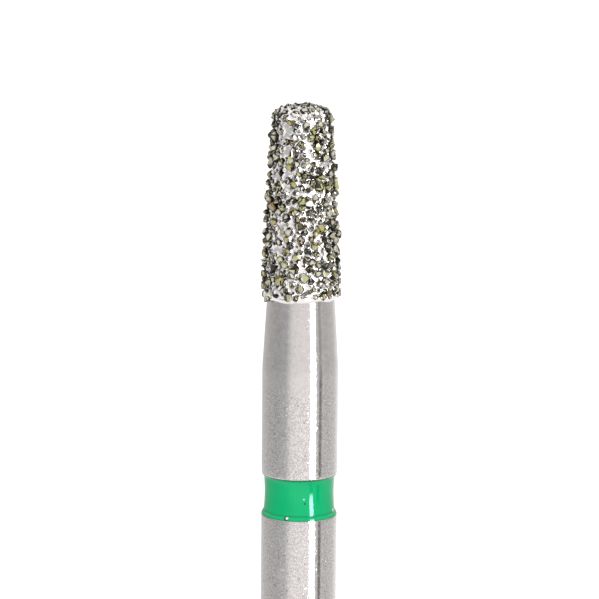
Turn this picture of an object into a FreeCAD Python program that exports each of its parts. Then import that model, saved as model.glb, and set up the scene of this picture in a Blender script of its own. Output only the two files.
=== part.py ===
"""A tapered diamond dental bur with rounded tip edges, on a friction-grip shank.

The bur stands on the end of its shank: the origin is the centre of that end face and +Z runs
up the axis to the cutting tip. Lengths are millimetres.

The pieces are the steel blank, turned in one piece from the shank's end to the head's core;
the enamel band in the blank's groove, whose colour tells the grit; the plated nickel coat on
the core; and the diamond crystals, each in a pocket of that coat, sorted by tone into two nodes.
"""

import FreeCAD, Part
import math
import os
import random

import Sketcher

# Driving dimensions: alias in the sheet, value, what it measures
SIZES = [
    ("shank_diameter", 1.60, "diameter of the friction-grip shank"),
    ("rear_length", 10.25, "from the shank's end to the foot of the groove"),
    ("end_chamfer", 0.18, "chamfer round the shank's end"),
    ("groove_height", 0.90, "height of the groove for the colour band"),
    ("groove_depth", 0.16, "depth of that groove below the shank"),
    ("groove_wall_rise", 0.26, "height of each sloping wall of the groove"),
    ("band_waist_depth", 0.072, "band's face below the shank, at its narrowest"),
    ("band_top_depth", 0.062, "band's upper edge below the shank"),
    ("band_foot_depth", 0.004, "band's lower edge below the shank"),
    ("band_waist_rise", 0.33, "narrowest place of the band above the groove's foot"),
    ("collar_length", 2.13, "plain shank between the groove and the neck"),
    ("neck_length", 1.61, "arched neck, from the shank to the head"),
    ("neck_drop", 0.095, "steel below the shank's surface, where the neck meets the head"),
    ("head_length", 3.95, "steel core of the head"),
    ("head_taper", 3.14, "slope of the head's side to the axis, in degrees"),
    ("tip_round", 0.245, "rounding of the coat's tip edge"),
    ("coat_thickness", 0.078, "nickel over the core"),
    ("coat_sides", 16, "flat lands round the outside of the nickel coat"),
    ("bore_sides", 32, "flats round the inside of the nickel coat"),
    ("rim_step", 0.016, "blunt lower edge of the nickel"),
    ("rim_rise", 0.15, "height over which the nickel gains its thickness"),
    ("grit_size", 0.156, "mean width of a crystal, corner to corner"),
    ("grit_spread", 0.022, "how much wider or narrower a crystal may be"),
    ("grit_count", 340, "crystals on the head"),
    ("grit_skin", 0.005, "least nickel between a crystal and the core"),
    ("grit_lift", 0.012, "how much further out a crystal may sit"),
    ("grit_gap", 0.004, "least space between two crystals"),
]

GRIT_SEED = 31
TRIES_PER_CRYSTAL = 400
OLIVE_SHARE = 0.36
SHORTEST_CORNER = 0.76

# Blunt rim of the nickel: share of its rise, and share of the thickness gained by then
RIM_PROFILE = [(0.0, 0.0), (0.33, 0.67), (1.0, 1.0)]

# Expressions for the heights at which the blank changes shape, from the shank's end upwards
GROOVE_FOOT = "Sizes.rear_length"
GROOVE_TOP = GROOVE_FOOT + " + Sizes.groove_height"
NECK_FOOT = GROOVE_TOP + " + Sizes.collar_length"
HEAD_FOOT = NECK_FOOT + " + Sizes.neck_length"
CORE_TOP = HEAD_FOOT + " + Sizes.head_length"
SHANK_RADIUS = "Sizes.shank_diameter / 2"
GROOVE_RADIUS = SHANK_RADIUS + " - Sizes.groove_depth"
WALL_SLOPE = "Sizes.groove_wall_rise / Sizes.groove_depth"
NECK_RADIUS = SHANK_RADIUS + " - Sizes.neck_drop"
TIP_RADIUS = NECK_RADIUS + " - Sizes.head_length * tan(Sizes.head_taper)"


def fill_sheet(doc):
    """Puts the driving dimensions into the document's sheet, one aliased cell each."""
    sheet = doc.addObject("Spreadsheet::Sheet", "Sizes")
    for row, (alias, value, meaning) in enumerate(SIZES, start=1):
        sheet.set("A%d" % row, alias)
        sheet.set("B%d" % row, str(value))
        sheet.set("C%d" % row, meaning)
        sheet.setAlias("B%d" % row, alias)
    doc.recompute()
    return sheet


def origin_plane(body, role):
    """One of the body's own origin planes."""
    return next(f for f in body.Origin.OriginFeatures if f.Role == role)


def upright_sketch(body, name):
    """A sketch on the body's XZ plane: its x is the radius and its y the height."""
    sketch = body.newObject("Sketcher::SketchObject", name)
    sketch.AttachmentSupport = [(origin_plane(body, "XZ_Plane"), "")]
    sketch.MapMode = "FlatFace"
    return sketch


def pin(sketch, kind, edge, end, rough, name, expression):
    """Ties one end of a sketch edge, at a rough distance from the origin, to an expression."""
    sketch.addConstraint(Sketcher.Constraint(kind, -1, 1, edge, end, rough))
    sketch.renameConstraint(sketch.ConstraintCount - 1, name)
    sketch.setExpression("Constraints." + name, expression)


def draw_outline(sketch, corners, arcs):
    """Draws a closed outline and ties its corners to the sheet.

    corners lists (label, rough radius, rough height, radius expression, height expression).
    arcs maps the label of the corner where an arc starts to a point that it bulges through.
    """
    count = len(corners)
    points = [FreeCAD.Vector(c[1], c[2], 0) for c in corners]
    for i in range(count):
        start, end = points[i], points[(i + 1) % count]
        bulge = arcs.get(corners[i][0])
        if bulge:
            edge = Part.Arc(start, FreeCAD.Vector(bulge[0], bulge[1], 0), end)
        else:
            edge = Part.LineSegment(start, end)
        sketch.addGeometry(edge, False)
    # An arc runs anticlockwise whatever way it was drawn, so its ends may be the other way round
    ends = []
    for i in range(count):
        reversed_arc = (sketch.getPoint(i, 1) - points[i]).Length > 1e-6
        ends.append((2, 1) if reversed_arc else (1, 2))
    for i in range(count):
        j = (i + 1) % count
        sketch.addConstraint(Sketcher.Constraint("Coincident", i, ends[i][1], j, ends[j][0]))
    for i, (label, rough_radius, rough_height, radius, height) in enumerate(corners):
        pin(sketch, "DistanceX", i, ends[i][0], rough_radius, label + "_x", radius)
        pin(sketch, "DistanceY", i, ends[i][0], rough_height, label + "_y", height)


def revolve(body, sketch, name):
    """Turns a sketch's outline once round the body's Z axis."""
    turned = body.newObject("PartDesign::Revolution", name)
    turned.Profile = sketch
    turned.ReferenceAxis = (sketch, ["V_Axis"])
    turned.Angle = 360.0
    sketch.Visibility = False
    body.Document.recompute()
    return turned


def circle_at(shape, height, radius):
    """The name of the circular edge at that height and radius on the Z axis."""
    for number, edge in enumerate(shape.Edges, start=1):
        curve = edge.Curve
        if curve.TypeId != "Part::GeomCircle":
            continue
        if abs(curve.Center.z - height) < 1e-5 and abs(curve.Radius - radius) < 1e-5:
            return "Edge%d" % number
    raise RuntimeError("no circle of radius %g at height %g" % (radius, height))


def make_blank(doc, sheet, head):
    """The steel blank: shank, groove, collar, arched neck and the head's core."""
    body = doc.addObject("PartDesign::Body", "steel_blank")
    sketch = upright_sketch(body, "BlankOutline")
    wall_top = GROOVE_TOP + " - Sizes.groove_wall_rise"
    wall_foot = GROOVE_FOOT + " + Sizes.groove_wall_rise"
    corners = [
        ("axis_foot", 0.0, 0.0, "0", "0"),
        ("end_edge", 0.8, 0.0, SHANK_RADIUS, "0"),
        ("groove_foot", 0.8, 10.25, SHANK_RADIUS, GROOVE_FOOT),
        ("floor_foot", 0.64, 10.51, GROOVE_RADIUS, wall_foot),
        ("floor_top", 0.64, 10.89, GROOVE_RADIUS, wall_top),
        ("groove_top", 0.8, 11.15, SHANK_RADIUS, GROOVE_TOP),
        ("neck_foot", 0.8, 13.28, SHANK_RADIUS, NECK_FOOT),
        ("head_foot", 0.705, 14.89, NECK_RADIUS, HEAD_FOOT),
        ("core_edge", 0.4883, 18.84, TIP_RADIUS, CORE_TOP),
        ("core_top", 0.0, 18.84, "0", CORE_TOP),
    ]
    draw_outline(sketch, corners, {"neck_foot": (0.776, 14.08)})
    # The neck's arch leaves the shank without a crease: its centre is level with the neck's foot
    neck = next(i for i, c in enumerate(corners) if c[0] == "neck_foot")
    pin(sketch, "DistanceY", neck, 3, 13.28, "arch_centre", NECK_FOOT)
    turned = revolve(body, sketch, "TurnedBlank")

    chamfer = body.newObject("PartDesign::Chamfer", "EndChamfer")
    chamfer.Base = (turned, [circle_at(turned.Shape, 0.0, sheet.shank_diameter / 2)])
    chamfer.setExpression("Size", "Sizes.end_chamfer")
    doc.recompute()

    # The bevel ends where the round over it begins, so it stays within an even coat's inside
    bevel = body.newObject("PartDesign::Chamfer", "TipBevel")
    bevel.Base = (chamfer, [circle_at(chamfer.Shape, head.top, head.top_radius)])
    bevel.setExpression("Size", "Sizes.tip_round - Sizes.coat_thickness")
    doc.recompute()
    body.Tip = bevel
    return body


def make_band(doc):
    """The enamel band: it fills the groove, hollow at its waist and flaring out to its foot."""
    body = doc.addObject("PartDesign::Body", "colour_band")
    sketch = upright_sketch(body, "BandOutline")
    foot_height = GROOVE_FOOT + " + Sizes.band_foot_depth * " + WALL_SLOPE
    top_height = GROOVE_TOP + " - Sizes.band_top_depth * " + WALL_SLOPE
    waist_height = GROOVE_FOOT + " + Sizes.band_waist_rise"
    corners = [
        ("foot", 0.796, 10.257, SHANK_RADIUS + " - Sizes.band_foot_depth", foot_height),
        ("waist", 0.728, 10.58, SHANK_RADIUS + " - Sizes.band_waist_depth", waist_height),
        ("top", 0.738, 11.047, SHANK_RADIUS + " - Sizes.band_top_depth", top_height),
        ("floor_top", 0.64, 10.89, GROOVE_RADIUS, GROOVE_TOP + " - Sizes.groove_wall_rise"),
        ("floor_foot", 0.64, 10.51, GROOVE_RADIUS, GROOVE_FOOT + " + Sizes.groove_wall_rise"),
    ]
    draw_outline(sketch, corners, {"foot": (0.745, 10.42), "waist": (0.7305, 10.81)})
    # Both arcs are upright at the waist: their centres are level with it
    pin(sketch, "DistanceY", 0, 3, 10.58, "flare_centre", waist_height)
    pin(sketch, "DistanceY", 1, 3, 10.58, "hollow_centre", waist_height)
    revolve(body, sketch, "TurnedBand")
    return body


class Head:
    """The core's outline, which the coat and the crystals are set out from.

    The outline runs up the cone, round the tip's edge and in along the flat tip to the axis.
    """

    def __init__(self, sheet):
        self.taper = math.radians(sheet.head_taper)
        self.foot = sheet.rear_length + sheet.groove_height + sheet.collar_length + sheet.neck_length
        self.foot_radius = sheet.shank_diameter / 2 - sheet.neck_drop
        self.top = self.foot + sheet.head_length
        self.top_radius = self.side_radius(self.top, 0.0)
        self.round = sheet.tip_round - sheet.coat_thickness
        self.round_height = self.top - self.round
        self.round_radius = self.side_radius(self.round_height, -self.round)
        side_top = self.round_height + self.round * math.sin(self.taper)
        self.side_run = (side_top - self.foot) / math.cos(self.taper)
        self.turn_run = self.round * (math.pi / 2 - self.taper)
        self.whole_run = self.side_run + self.turn_run + self.round_radius

    def side_radius(self, height, offset):
        """Radius of the cone at a height, pushed outwards by offset."""
        drop = (height - self.foot) * math.tan(self.taper)
        return self.foot_radius - drop + offset / math.cos(self.taper)

    def over_round(self, tilt, reach):
        """Radius and height of the place at that reach and tilt from the round's centre."""
        return self.round_radius + reach * math.cos(tilt), self.round_height + reach * math.sin(tilt)

    def over_core(self, run, offset):
        """Radius and height of the place offset off the core, after run along the outline."""
        if run <= self.side_run:
            height = self.foot + run * math.cos(self.taper)
            radius = self.side_radius(height, 0.0)
            return radius + offset * math.cos(self.taper), height + offset * math.sin(self.taper)
        if run <= self.side_run + self.turn_run:
            tilt = self.taper + (run - self.side_run) / self.round
            return self.over_round(tilt, self.round + offset)
        return self.whole_run - run, self.top + offset


def flat_sided(doc, name, rings, sides, reach):
    """A solid with flat faces between coaxial rings of corners.

    rings lists the (radius, height) of the round form that the flats stand for, and reach is
    how many times that radius the corners are from the axis.
    """
    loops = []
    for radius, height in rings:
        turns = [2 * math.pi * k / sides for k in range(sides)]
        out = radius * reach
        loops.append([FreeCAD.Vector(out * math.cos(a), out * math.sin(a), height) for a in turns])
    outlines = [loops[0], loops[-1]]
    for below, above in zip(loops, loops[1:]):
        for k in range(sides):
            following = (k + 1) % sides
            outlines.append([below[k], below[following], above[following], above[k]])
    item = doc.addObject("Part::Feature", name)
    item.Shape = solid_of(outlines)
    return item


def solid_of(outlines):
    """A solid whose flat faces have these outlines."""
    faces = [Part.Face(Part.makePolygon(corners + corners[:1])) for corners in outlines]
    solid = Part.Solid(Part.Shell(faces))
    if solid.Volume < 0:
        solid.reverse()
    return solid


def make_coat_outline(doc, sheet, head):
    """The outside of the nickel coat, with no bore yet: thin at its rim, round at the tip."""
    rings = []
    for rise_share, growth in RIM_PROFILE:
        height = head.foot + rise_share * sheet.rim_rise
        offset = sheet.rim_step + growth * (sheet.coat_thickness - sheet.rim_step)
        rings.append((head.side_radius(height, offset), height))
    for share in (0.0, 0.5, 1.0):
        tilt = head.taper + share * (math.pi / 2 - head.taper)
        rings.append(head.over_round(tilt, sheet.tip_round))
    # The corners stand out and the flats in, so that on average they keep to the round
    reach = 1 / math.sqrt(math.cos(math.pi / sheet.coat_sides))
    return flat_sided(doc, "CoatOutline", rings, int(sheet.coat_sides), reach)


def make_coat_bore(doc, sheet, head):
    """The inside of the nickel coat: flats that all touch the round core, and no part of it less."""
    bevel_foot = head.top - head.round * math.cos(head.taper)
    bevel_radius = head.side_radius(bevel_foot, 0.0)
    rings = [
        (head.foot_radius, head.foot),
        (bevel_radius, bevel_foot),
        (head.top_radius - head.round, head.top),
    ]
    reach = 1 / math.cos(math.pi / sheet.bore_sides)
    return flat_sided(doc, "CoatBore", rings, int(sheet.bore_sides), reach)


def crystal(rng, centre, reach):
    """A stone with six corners and eight flat faces, turned at random, inside a ball of that reach."""
    first = random_direction(rng)
    second = random_direction(rng)
    second = (second - first * first.dot(second)).normalize()
    third = first.cross(second)
    pairs = []
    for axis in (first, second, third):
        out, back = (reach * rng.uniform(SHORTEST_CORNER, 1.0) for _ in range(2))
        pairs.append((centre + axis * out, centre - axis * back))
    return solid_of([[a, b, c] for a in pairs[0] for b in pairs[1] for c in pairs[2]])


def random_direction(rng):
    """A unit vector that may point anywhere."""
    return FreeCAD.Vector(*(rng.gauss(0, 1) for _ in range(3))).normalize()


def scatter_grit(sheet, head):
    """Drops crystals on the core at random, the widest first, none touching another."""
    rng = random.Random(GRIT_SEED)
    widest_place = head.foot_radius + sheet.grit_size
    count = int(sheet.grit_count)
    placed = []
    for number in range(count):
        share = 1 - 2 * number / count
        reach = (sheet.grit_size + sheet.grit_spread * share) / 2
        offset = sheet.grit_skin + reach + sheet.grit_lift * rng.random() ** 2
        for _ in range(TRIES_PER_CRYSTAL):
            radius, height = head.over_core(rng.uniform(reach, head.whole_run), offset)
            turn = rng.uniform(0, 2 * math.pi)
            # Narrow places get fewer, so that the crystals lie evenly over the surface
            if rng.random() * widest_place > radius:
                continue
            centre = FreeCAD.Vector(radius * math.cos(turn), radius * math.sin(turn), height)
            clear = reach + sheet.grit_gap
            if all(centre.distanceToPoint(other) > clear + size for other, size in placed):
                placed.append((centre, reach))
                break
    return placed


def make_grit(doc, sheet, head):
    """The crystals, in two nodes by their tone."""
    rng = random.Random(GRIT_SEED + 1)
    tones = {"grit_grey": [], "grit_olive": []}
    for centre, reach in scatter_grit(sheet, head):
        tone = "grit_olive" if rng.random() < OLIVE_SHARE else "grit_grey"
        tones[tone].append(crystal(rng, centre, reach))
    nodes = []
    for tone, stones in tones.items():
        node = doc.addObject("Part::Feature", tone)
        node.Shape = Part.makeCompound(stones)
        nodes.append(node)
    return nodes


def cut(doc, name, base, tool):
    """base with tool's shape taken out of it."""
    result = doc.addObject("Part::Cut", name)
    result.Base = base
    result.Tool = tool
    return result


def make_coat(doc, sheet, head, grit):
    """The nickel coat: hollow for the steel core, with a pocket round each crystal."""
    sleeve = cut(doc, "CoatSleeve", make_coat_outline(doc, sheet, head), make_coat_bore(doc, sheet, head))
    pocketed = cut(doc, "CoatWithGreyPockets", sleeve, grit[0])
    return cut(doc, "nickel_coat", pocketed, grit[1])


def check(doc, nodes):
    """Stops if anything failed to build."""
    for item in doc.Objects:
        if "Invalid" in item.State or "Error" in item.State:
            raise RuntimeError("%s did not build: %s" % (item.Name, item.State))
    for node in nodes:
        if node.Shape.isNull() or not node.Shape.isValid() or not node.Shape.Solids:
            raise RuntimeError("%s has no valid solid" % node.Label)


def main():
    doc = FreeCAD.newDocument("DentalBur")
    sheet = fill_sheet(doc)
    head = Head(sheet)
    blank = make_blank(doc, sheet, head)
    band = make_band(doc)
    grit = make_grit(doc, sheet, head)
    coat = make_coat(doc, sheet, head, grit)
    doc.recompute()
    nodes = [blank, band, coat] + grit
    check(doc, nodes)
    os.makedirs("parts", exist_ok=True)
    for node in nodes:
        node.Shape.exportStep("parts/%s.step" % node.Label)
        print("%s: %d solids, %.4f mm3" % (node.Label, len(node.Shape.Solids), node.Shape.Volume))


main()
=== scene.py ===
"""A dental bur: a turned steel shank with a green enamel band and a tapered head of diamond
crystals held in bright nickel. Lengths are in millimetres until a mesh is made."""
import math
import random

import bmesh
import bpy
import numpy as np
from mathutils import Matrix, Vector


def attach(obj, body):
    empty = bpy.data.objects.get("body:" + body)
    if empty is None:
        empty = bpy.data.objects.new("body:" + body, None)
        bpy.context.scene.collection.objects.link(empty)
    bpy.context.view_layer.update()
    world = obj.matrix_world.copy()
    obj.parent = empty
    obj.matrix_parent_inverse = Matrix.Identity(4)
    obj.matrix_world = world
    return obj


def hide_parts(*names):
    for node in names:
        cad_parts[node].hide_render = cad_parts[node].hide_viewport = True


MM = 0.001
# Keeps a length of nothing from being divided by
TINY = 1e-6
SEED = 7
UP = np.array([0.0, 0.0, 1.0])
# Range of a random turn, in radians
ANY_TURN = (0, 6.28)

# Heights along the axis, radii and depths
CHAMFER = 0.18
GROOVE_FOOT = 10.25
GROOVE_HEIGHT = 0.90
GROOVE_DEPTH = 0.16
LOWER_WALL_RISE = 0.26
UPPER_WALL_RISE = 0.17
SHANK_RADIUS = 0.80
NECK_FOOT = 13.28
NECK_TOP_RADIUS = 0.705
NECK_HOLLOW = 0.017
HEAD_FOOT = 14.89
HEAD_LENGTH = 3.95
HEAD_TOP = HEAD_FOOT + HEAD_LENGTH
HEAD_TAPER = math.radians(3.14)
CORE_ROUND = 0.167
COAT = 0.078
# A thin film of nickel on the neck's last stretch
FILM_FOOT = 14.79
FILM = 0.0022
# How the turned bodies are made: the rounding of corners, which takes no more than a share of a side, the
# steps along the neck and round the axis, the longest step and the angle of a sharp edge
EDGE_ROUND = 0.018
EDGE_STEPS = 5
EDGE_SHARE = 0.45
NECK_STEPS = 40
ROUND_SIDES = 288
LONGEST_STEP = 0.16
SHARP_FROM = math.radians(28)

# The enamel's outer line, foot to top: radius, height over the groove's foot
ENAMEL_LINE = (
    (0.7985, 0.006), (0.7970, 0.022), (0.7925, 0.041), (0.7840, 0.060), (0.7720, 0.079), (0.7610, 0.098),
    (0.7530, 0.118), (0.7482, 0.142), (0.7440, 0.175), (0.7395, 0.230), (0.7350, 0.305), (0.7320, 0.380),
    (0.7306, 0.470), (0.7318, 0.570), (0.7348, 0.650), (0.7385, 0.710), (0.7425, 0.765), (0.7475, 0.803),
    (0.7550, 0.832), (0.7655, 0.852), (0.7775, 0.867), (0.7890, 0.882),
)
ENAMEL_INSIDE = 0.648
ENAMEL_STEPS = 6
# Spots painted on the enamel: a bubble's painted dark ring and painted highlight, a painted glint at the
# right, a dark speck and a pale spot. Degrees round the axis to the right, radius, height over the groove's
# foot, reach and colour
ENAMEL_SPOTS_AND_GLINTS = (
    (-19.5, 0.790, 0.062, 0.066, (0.0, 0.12, 0.05)),
    (-18.6, 0.790, 0.070, 0.038, (1.0, 1.0, 1.0)),
    (72.0, 0.735, 0.130, 0.045, (1.0, 1.0, 1.0)),
    (9.5, 0.735, 0.375, 0.026, (0.0, 0.13, 0.06)),
    (8.0, 0.735, 0.470, 0.022, (0.55, 0.95, 0.75)),
)

# Limits of the grit, which keep it inside the solids' box. Outside the tip's flat middle the upper one falls
# off by a share of the distance.
WIDEST = 0.838
HIGHEST = 18.975
TIP_FLAT = 0.30
TIP_FALL = 0.34
# Where the head's side bends over to its top, and how far up the bend goes
BEND_FOOT = HEAD_TOP - 0.10
BEND_HEIGHT = 0.17

# Crystals: how much larger than the solids', how far edges and corners are worn, how often and how far a
# face bulges, how far a crystal is drawn out, how uneven a body with eight faces is
STONE_GROWTH = (1.25, 1.95)
EDGE_WEAR = (0.21, 0.36)
CORNER_WEAR = (0.02, 0.30)
CORNER_WEAR_POWER = 1.3
BULGE_CHANCE = 0.45
BULGE = (1.15, 1.6)
STRETCH = (-0.30, 0.40)
ARM = (0.8, 1.3)
# Faces that meet at a smaller angle are one facet
FLAT_WITHIN = math.radians(3)
# A crystal of the solids: how far it is raised at the side and sunk at the top, and how near to a listed
# stone it may be, as a share of their two reaches
SIDE_RISE = (0.015, 0.06)
TOP_SINK = (0.01, 0.08)
CROWDED = 0.62
# A listed stone: how far it stands out, as a share of its reach between two limits, and less at the top
SEEN_RISE_SHARE = 1.05
SEEN_RISE = (0.07, 0.13)
SEEN_TOP_LOSS = 0.4
HUE_SPREAD = 0.05
# Broken pieces: how many, least and most reach, then their tries, their lift and how near they may be
FRAGMENTS = ((260, 0.046, 0.078), (200, 0.030, 0.046), (90, 0.020, 0.030))
FRAGMENT_TRIES = 30000
FRAGMENT_LIFT = (-0.25, 0.15)
FRAGMENT_OWN_SHARE = 0.85
FRAGMENT_CROWDED = 0.80
# Rings of the head's line that broken pieces keep off, at the foot and at the tip
FOOT_RINGS = 10
TIP_RINGS = 2
# Broken pieces below this height are darker, by this power: more of them get the near-black tones of
# painted shade
DARK_BELOW = HEAD_FOOT + 1.7
DARK_POWER = 1.7

# Facets: the values of dark, middling, bright and worn ones, up to which pick a facet is dark or middling,
# and the width that counts as worn, as a share of the stone's reach. The values paint light and shade on
# the facets, and the worn ones are painted darkest, as the crystals' dark outlines
FACET_VALUES = ((0.14, 0.30), (0.38, 0.78), (0.80, 1.0), (0.0, 0.12))
DARK_UP_TO = 0.24
MIDDLING_UP_TO = 0.66
WORN_WIDTH = 0.17
# The least height over the nickel that a stone's own height counts as
LEAST_STANDING = 0.02

# The nickel's skin: how far it lies under the coat's outline and climbs at a stone
NICKEL_DIP = 0.046
NICKEL_CLIMB = 0.046
NICKEL_AT_STONE = NICKEL_CLIMB - NICKEL_DIP
SKIN_SIDES = 300
SIDE_RINGS, BEND_RINGS, TOP_RINGS = 240, 26, 22
SMALLEST_RING = 0.012
# The climb: stones that count for a ring, how deep they may lie, where it starts as a share of the reach,
# how fast it fades, the reach and the most that count as full, and the most where stones meet
CLIMB_NEAR = 0.26
CLIMB_DEEPEST = 0.2
CLIMB_START = 0.74
CLIMB_FADE = 0.017
CLIMB_REACH = 0.07
CLIMB_MOST = 1.2
CLIMB_MEETING = 1.3
# A ripple is the sum of this many waves, each slower or faster by this much
WAVES = 26
WAVE_PACE = (0.6, 1.4)
# Ripples in the skin and along its lower edge: height, length, seed
SKIN_WAVES = ((0.0050, 0.24, 5), (0.0016, 0.08, 6))
EDGE_WAVE = (0.022, 0.55, 9)
EDGE_WAVE_RUN = 0.16
# The skin over its foot: where the dip starts and how soon it is full, and the rounded lip
DIP_START = 0.09
DIP_RUN = 0.12
LIP_RUN = 0.085
LIP_EDGE = 0.006

# Stones seen from the front: degrees round the axis to the right, run along the head's outline, reach
SEEN_STONES = {
    "grey": (
        (-92, 3.93, 0.063), (-75, 4.21, 0.116), (-145, 4.40, 0.076), (5, 4.04, 0.131),
        (-67, 3.45, 0.118), (8, 3.70, 0.085), (-89, 3.18, 0.089), (78, 4.28, 0.089),
        (43, 4.04, 0.097), (41, 3.73, 0.085), (59, 3.46, 0.080), (-18, 3.16, 0.101),
        (-14, 2.59, 0.076), (47, 3.02, 0.099), (89, 3.07, 0.082), (-74, 2.11, 0.116),
        (-15, 2.15, 0.085), (-64, 1.16, 0.101), (-40, 1.26, 0.085), (40, 0.64, 0.101),
        (19, 1.89, 0.089), (45, 2.08, 0.097), (-21, 1.49, 0.089), (-74, 0.78, 0.093),
        (65, 1.83, 0.093), (88, 1.53, 0.089), (18, 0.87, 0.089), (70, 0.52, 0.095),
        (-59, 0.41, 0.093), (18, 2.67, 0.074), (22, 1.72, 0.068), (26, 1.02, 0.076),
        (29, 0.81, 0.085), (4, 2.89, 0.063),
    ),
    "clear": (
        (-46, 3.56, 0.068), (-16, 3.45, 0.093), (-32, 3.35, 0.072), (89, 3.40, 0.078),
        (9, 2.96, 0.072),
    ),
    # Near-black stones, which stand in for dark holes between crystals: painted shade
    "dark": (
        (-54, 3.89, 0.068), (-64, 3.67, 0.066), (-89, 3.31, 0.072), (76, 4.01, 0.097),
        (89, 3.58, 0.076), (45, 3.34, 0.076), (-5, 3.04, 0.091), (-43, 2.70, 0.063),
        (-26, 2.56, 0.080), (-27, 0.24, 0.099), (-41, 0.13, 0.061), (60, 0.13, 0.068),
        (89, 0.94, 0.085), (-19, 1.21, 0.085), (-48, 0.70, 0.085), (11, 1.11, 0.095),
        (11, 2.37, 0.053), (12, 0.24, 0.063), (16, 0.46, 0.068), (31, 0.40, 0.074),
        (31, 1.97, 0.063), (39, 0.24, 0.074), (47, 1.16, 0.085), (6, 1.48, 0.070),
    ),
    "yellow": (
        (-1, 3.31, 0.076), (72, 3.27, 0.097), (-5, 2.69, 0.072), (-45, 2.43, 0.101),
        (34, 2.57, 0.118), (35, 2.42, 0.114), (89, 2.35, 0.118), (20, 2.51, 0.066),
        (0, 2.15, 0.095), (-33, 1.97, 0.085), (-26, 0.79, 0.076), (6, 0.54, 0.121),
        (-62, 0.03, 0.087),
    ),
    "olive": (
        (155, 4.14, 0.085), (-15, 3.99, 0.093), (-25, 3.75, 0.072), (79, 3.77, 0.101),
        (25, 3.61, 0.082), (32, 3.42, 0.101), (-64, 3.16, 0.104), (-40, 2.96, 0.085),
        (-21, 2.84, 0.101), (-87, 2.62, 0.085), (51, 2.42, 0.097), (86, 2.76, 0.122),
        (-89, 1.65, 0.101), (5, 1.59, 0.074), (-8, 0.97, 0.085), (-34, 0.49, 0.118),
        (-10, 0.73, 0.110), (-1, 0.29, 0.099), (33, 1.57, 0.101), (21, 1.21, 0.085),
        (53, 0.92, 0.097), (19, 0.29, 0.068),
    ),
    "brown": (
        (-37, 3.84, 0.082), (-18, 3.77, 0.059), (-20, 3.34, 0.070), (3, 2.57, 0.072),
        (-45, 2.11, 0.097), (-6, 1.75, 0.095), (-1, 1.32, 0.104), (69, 1.26, 0.106),
        (-8, 0.10, 0.070), (23, 0.13, 0.053), (12, 2.18, 0.063), (13, 0.72, 0.072),
        (14, 1.89, 0.063), (17, 1.35, 0.068), (25, 3.10, 0.055),
    ),
}
# The piece that each kind goes into, and its place from dark to pale there
KINDS = {
    "grey": ("grit_grey", 0.5),
    "clear": ("grit_grey", 0.92),
    # Near-black: painted shade for dark holes between crystals
    "dark": ("grit_grey", 0.06),
    "yellow": ("grit_olive", 0.95),
    "olive": ("grit_olive", 0.55),
    "brown": ("grit_olive", 0.08),
}
# Places where the nickel is bare: degrees round the axis to the right, run along the head's outline, reach
BARE_PLACES = (
    (-38, 3.64, 0.190), (-30, 3.45, 0.130), (-56, 3.30, 0.100), (62, 3.55, 0.080),
    (66, 2.10, 0.080), (60, 1.10, 0.090), (63, 0.32, 0.080), (70, 2.55, 0.070), (-30, 3.12, 0.100),
    (-20, 3.95, 0.100), (-50, 2.85, 0.090), (-60, 2.60, 0.080), (-30, 2.68, 0.090),
    (-50, 1.80, 0.100), (-35, 1.62, 0.080), (-62, 0.62, 0.090), (-48, 0.30, 0.090),
)

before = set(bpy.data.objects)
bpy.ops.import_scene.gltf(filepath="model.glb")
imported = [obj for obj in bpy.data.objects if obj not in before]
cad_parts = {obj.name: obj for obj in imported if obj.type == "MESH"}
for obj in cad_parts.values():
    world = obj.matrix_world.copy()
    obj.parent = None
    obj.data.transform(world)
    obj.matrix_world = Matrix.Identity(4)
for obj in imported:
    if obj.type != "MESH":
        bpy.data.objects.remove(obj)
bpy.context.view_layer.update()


# Meshes
def added(name, data):
    """A new object in the scene."""
    made = bpy.data.objects.new(name, data)
    bpy.context.scene.collection.objects.link(made)
    return made


def mesh_piece(name, points, faces, smooth=True):
    """A piece from points in millimetres, which rides on the one body."""
    mesh = bpy.data.meshes.new(name)
    mesh.from_pydata((np.asarray(points) * MM).tolist(), [], faces)
    mesh.validate()
    if smooth:
        mesh.shade_smooth()
    else:
        mesh.shade_flat()
    piece = added(name, mesh)
    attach(piece, "root")
    return piece


def wall_faces(rings, sides):
    """Four-cornered faces between rings of points that follow one another."""
    return [
        (low + k, low + (k + 1) % sides, low + sides + (k + 1) % sides, low + sides + k)
        for low in range(0, (rings - 1) * sides, sides)
        for k in range(sides)
    ]


def turned(name, outline, closed=True):
    """A body of revolution from (radius, height) places, closed flat at both ends if asked."""
    sides = ROUND_SIDES
    angles = np.arange(sides) * 2 * math.pi / sides
    points = [
        (radius * math.cos(a), radius * math.sin(a), height)
        for radius, height in outline
        for a in angles
    ]
    faces = wall_faces(len(outline), sides)
    if closed:
        last = (len(outline) - 1) * sides
        faces.append(tuple(range(sides - 1, -1, -1)))
        faces.append(tuple(range(last, last + sides)))
    piece = mesh_piece(name, points, faces)
    piece.data.set_sharp_from_angle(angle=SHARP_FROM)
    return piece


def softened(corners):
    """An outline of (radius, height) corners, with each inner corner rounded."""
    outline = [corners[0]]
    for before, here, after in zip(corners, corners[1:], corners[2:]):
        before, here, after = (np.array(p, float) for p in (before, here, after))
        back, on = before - here, after - here
        take = min(EDGE_ROUND, np.linalg.norm(back) * EDGE_SHARE, np.linalg.norm(on) * EDGE_SHARE)
        start = here + back / np.linalg.norm(back) * take
        end = here + on / np.linalg.norm(on) * take
        for k in range(EDGE_STEPS + 1):
            t = k / EDGE_STEPS
            outline.append(tuple((1 - t) ** 2 * start + 2 * t * (1 - t) * here + t * t * end))
    outline.append(corners[-1])
    return outline


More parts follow.
